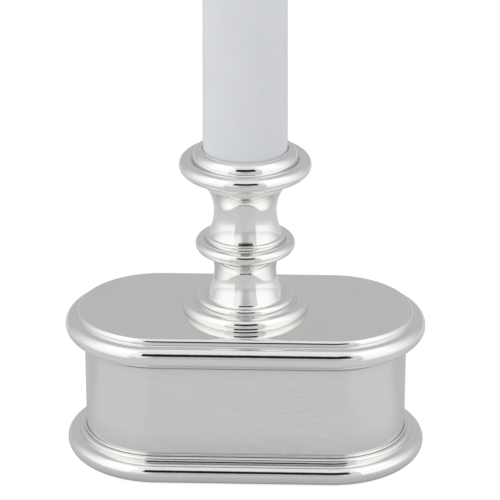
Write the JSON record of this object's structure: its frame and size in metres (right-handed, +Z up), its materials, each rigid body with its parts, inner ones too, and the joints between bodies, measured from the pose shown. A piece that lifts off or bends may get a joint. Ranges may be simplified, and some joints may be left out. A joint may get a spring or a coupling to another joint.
{
  "type": "altar candlestick",
  "caption": "Low silver-plated altar candlestick: a moulded oblong plinth, a turned stem with a knop, a drip pan with a lift-out nozzle, and one white candle.",
  "frame": {"origin": "middle of the baize resting face, under the stem's axis", "axes": "+Z up along the stem and candle, +X along the plinth's length, the front faces -Y"},
  "size_m": [0.1664, 0.0868, 0.2993],
  "materials": {
    "silver_plate": "bright polished silver plate",
    "silver_band": "bright polished silver plate with a faint grain from the sheet",
    "silver_top": "polished silver plate with fine handling scratches",
    "raw_brass": "dull, unplated",
    "zinc_steel": "zinc-plated steel",
    "cast_weight": "rough sand casting",
    "baize": "green wool baize",
    "candle_wax": "smooth white wax",
    "wick_cotton": "braided cotton"
  },
  "bodies": {
    "stick": {"baize_pad": "baize", "base_plate": "zinc_steel", "base_screws": "zinc_steel", "ballast_weight": "cast_weight", "ballast_screws": "zinc_steel", "foot_moulding": "silver_plate", "body_band": "silver_band", "seam_strap": "raw_brass", "cornice_moulding": "silver_plate", "top_plate": "silver_top", "backing_plate": "zinc_steel", "pillars": "raw_brass", "stem_foot": "silver_plate", "lower_neck": "silver_plate", "knop_ring": "silver_plate", "upper_neck": "silver_plate", "core_sleeve": "zinc_steel", "drip_pan": "silver_plate", "tie_rod": "zinc_steel", "bottom_washer": "zinc_steel", "lock_washer": "zinc_steel", "bottom_nut": "zinc_steel", "top_washer": "zinc_steel", "top_nut": "raw_brass"},
    "nozzle_body": {"nozzle": "silver_plate"},
    "candle_body": {"candle": "candle_wax", "wick": "wick_cotton"}
  },
  "joints": [
    {"name": "nozzle_lift", "type": "slide", "parent": "stick", "child": "nozzle_body", "axis": [0, 0, 1], "range_m": [0, 0.06]},
    {"name": "candle_lift", "type": "slide", "parent": "nozzle_body", "child": "candle_body", "axis": [0, 0, 1], "range_m": [0, 0.06]}
  ]
}
